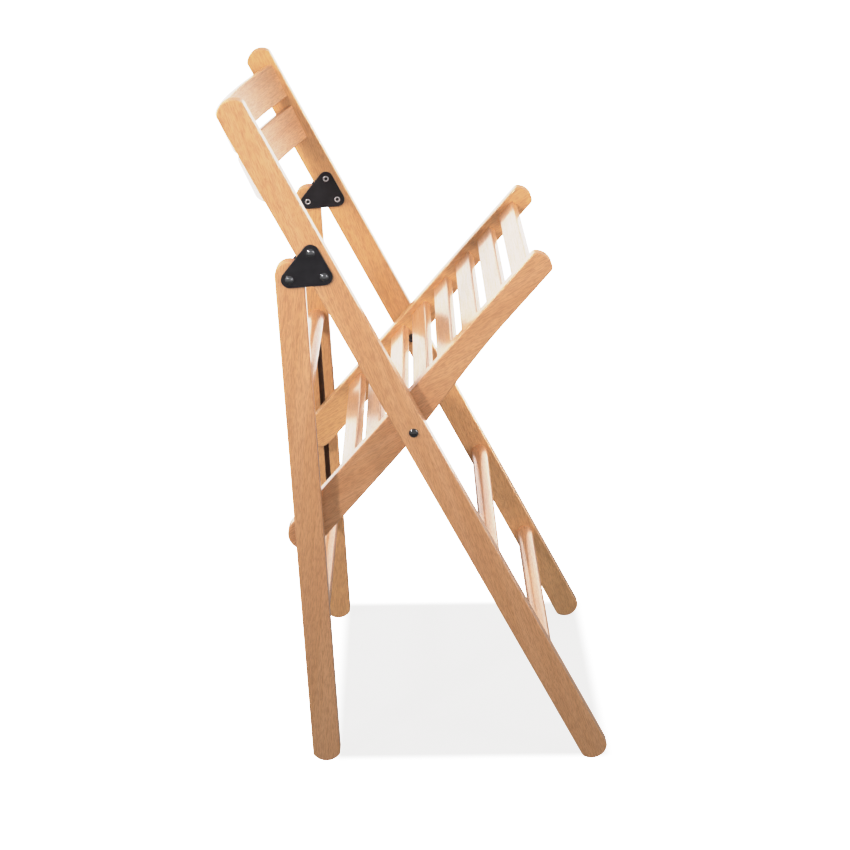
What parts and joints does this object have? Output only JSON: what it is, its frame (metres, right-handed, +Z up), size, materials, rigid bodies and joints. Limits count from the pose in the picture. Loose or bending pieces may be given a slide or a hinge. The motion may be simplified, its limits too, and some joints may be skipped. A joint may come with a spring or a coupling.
{
  "type": "folding chair",
  "caption": "Wooden folding chair, half folded, with a slatted seat on side rails, a bowed slatted backrest, round rungs and steel hinge plates.",
  "frame": {"origin": "bottom centre of the chair's box, on the floor, in the half-folded pose", "axes": "the chair faces -Y, +X is the sitter's left, +Z is up"},
  "size_m": [0.4484, 0.4693, 0.8178],
  "materials": {
    "beech": "satin clear lacquer",
    "black_steel": "satin black",
    "rivet_steel": "dark polished"
  },
  "bodies": {
    "front_frame": {"front_leg_right": "beech", "front_leg_left": "beech", "backrest_slat_upper": "beech", "backrest_slat_lower": "beech", "front_rung_upper": "beech", "front_rung_lower": "beech", "hinge_plate_right_outer": "black_steel", "hinge_plate_right_inner": "black_steel", "hinge_plate_left_outer": "black_steel", "hinge_plate_left_inner": "black_steel", "plate_rivets_right": "rivet_steel", "plate_rivets_left": "rivet_steel", "hinge_rivet_right": "rivet_steel", "hinge_rivet_left": "rivet_steel", "seat_bolt_right": "black_steel", "seat_bolt_left": "black_steel", "sleeve_nut_right": "black_steel", "sleeve_nut_left": "black_steel", "spacer_right": "black_steel", "spacer_left": "black_steel"},
    "rear_frame": {"rear_leg_right": "beech", "rear_leg_left": "beech", "rear_rung_upper": "beech", "rear_rung_lower": "beech"},
    "seat": {"seat_rail_right": "beech", "seat_rail_left": "beech", "guide_pin_right": "rivet_steel", "guide_pin_left": "rivet_steel", "seat_slat_1": "beech", "seat_slat_2": "beech", "seat_slat_3": "beech", "seat_slat_4": "beech", "seat_slat_5": "beech", "seat_slat_6": "beech", "seat_slat_7": "beech", "seat_slat_8": "beech"}
  },
  "joints": [
    {"name": "seat_fold", "type": "hinge", "parent": "front_frame", "child": "seat", "pos_m": [0, 0.00074, 0.42945], "axis": [-1, 0, 0], "range_deg": [-45, 61.5]},
    {"name": "rear_fold", "type": "hinge", "parent": "front_frame", "child": "rear_frame", "pos_m": [0, 0.13951, 0.6146], "axis": [-1, 0, 0], "range_deg": [-17.6, 24.04]}
  ],
  "couplings": [
    {"joint": "rear_fold", "follows": "seat_fold", "ratio": 0.39}
  ]
}
